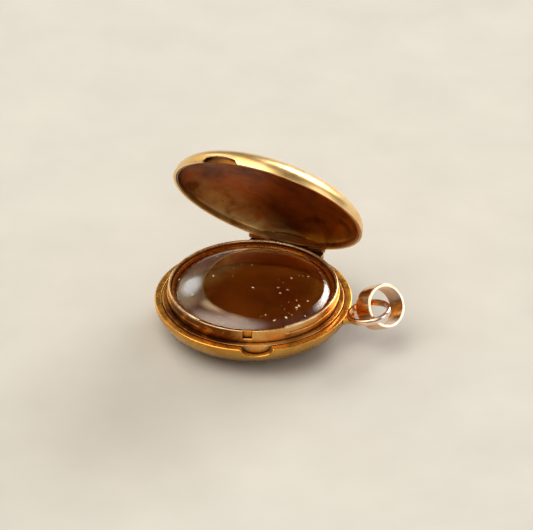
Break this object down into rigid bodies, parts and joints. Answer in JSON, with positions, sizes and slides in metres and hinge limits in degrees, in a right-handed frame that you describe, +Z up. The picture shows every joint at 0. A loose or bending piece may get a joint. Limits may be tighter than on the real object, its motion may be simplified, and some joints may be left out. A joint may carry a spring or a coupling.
{
  "type": "round hinged locket",
  "caption": "Small round gold locket with a hinged domed lid, a snap collar, a domed glazed picture compartment and a strap bail in a fixed loop.",
  "frame": {"origin": "middle of the small flat on the back, on which the open locket lies", "axes": "+Z up through the rim and the glass, +X towards the bail, +Y towards the hinge, whose pin lies along X"},
  "size_m": [0.0305, 0.0251, 0.0244],
  "materials": {
    "case_gold": "old polished yellow gold, fine scratches",
    "rim_gold": "worn polished gold, darker in the corners",
    "bezel_gold": "polished gold",
    "lid_gold": "old polished yellow gold outside, tarnished brown-gold inside",
    "hinge_gold": "dull gold with dirt in the joints",
    "pin_gold": "plain drawn wire",
    "crystal_glass": "clear domed glass, dusty",
    "rose_gold": "rosy gold, rubbed bright on the edges"
  },
  "bodies": {
    "case": {"back_shell": "case_gold", "rim_ledge": "rim_gold", "collar": "rim_gold", "snap_bead": "rim_gold", "hinge_leaf_body": "hinge_gold", "body_knuckle_1": "hinge_gold", "body_knuckle_2": "hinge_gold", "body_knuckle_3": "hinge_gold", "hinge_pin": "pin_gold", "fixed_loop": "rose_gold", "loop_foot": "rose_gold"},
    "lid": {"lid_shell": "lid_gold", "lid_lip": "lid_gold", "hinge_leaf_lid": "hinge_gold", "lid_knuckle_1": "hinge_gold", "lid_knuckle_2": "hinge_gold"},
    "glazing": {"glass_bezel": "bezel_gold", "crystal": "crystal_glass"},
    "bail": {"bail": "rose_gold"}
  },
  "joints": [
    {"name": "lid_hinge", "type": "hinge", "parent": "case", "child": "lid", "pos_m": [-0.0006, 0.0124, 0.00478], "axis": [-1, 0, 0], "range_deg": [-53, 62]},
    {"name": "glass_lift", "type": "slide", "parent": "case", "child": "glazing", "axis": [0, 0, 1], "range_m": [0, 0.0005]},
    {"name": "bail_swing", "type": "hinge", "parent": "case", "child": "bail", "pos_m": [0.016, 0.00261, 0.00537], "axis": [-0.877, 0.4462, -0.1784], "range_deg": [-10, 32]}
  ]
}
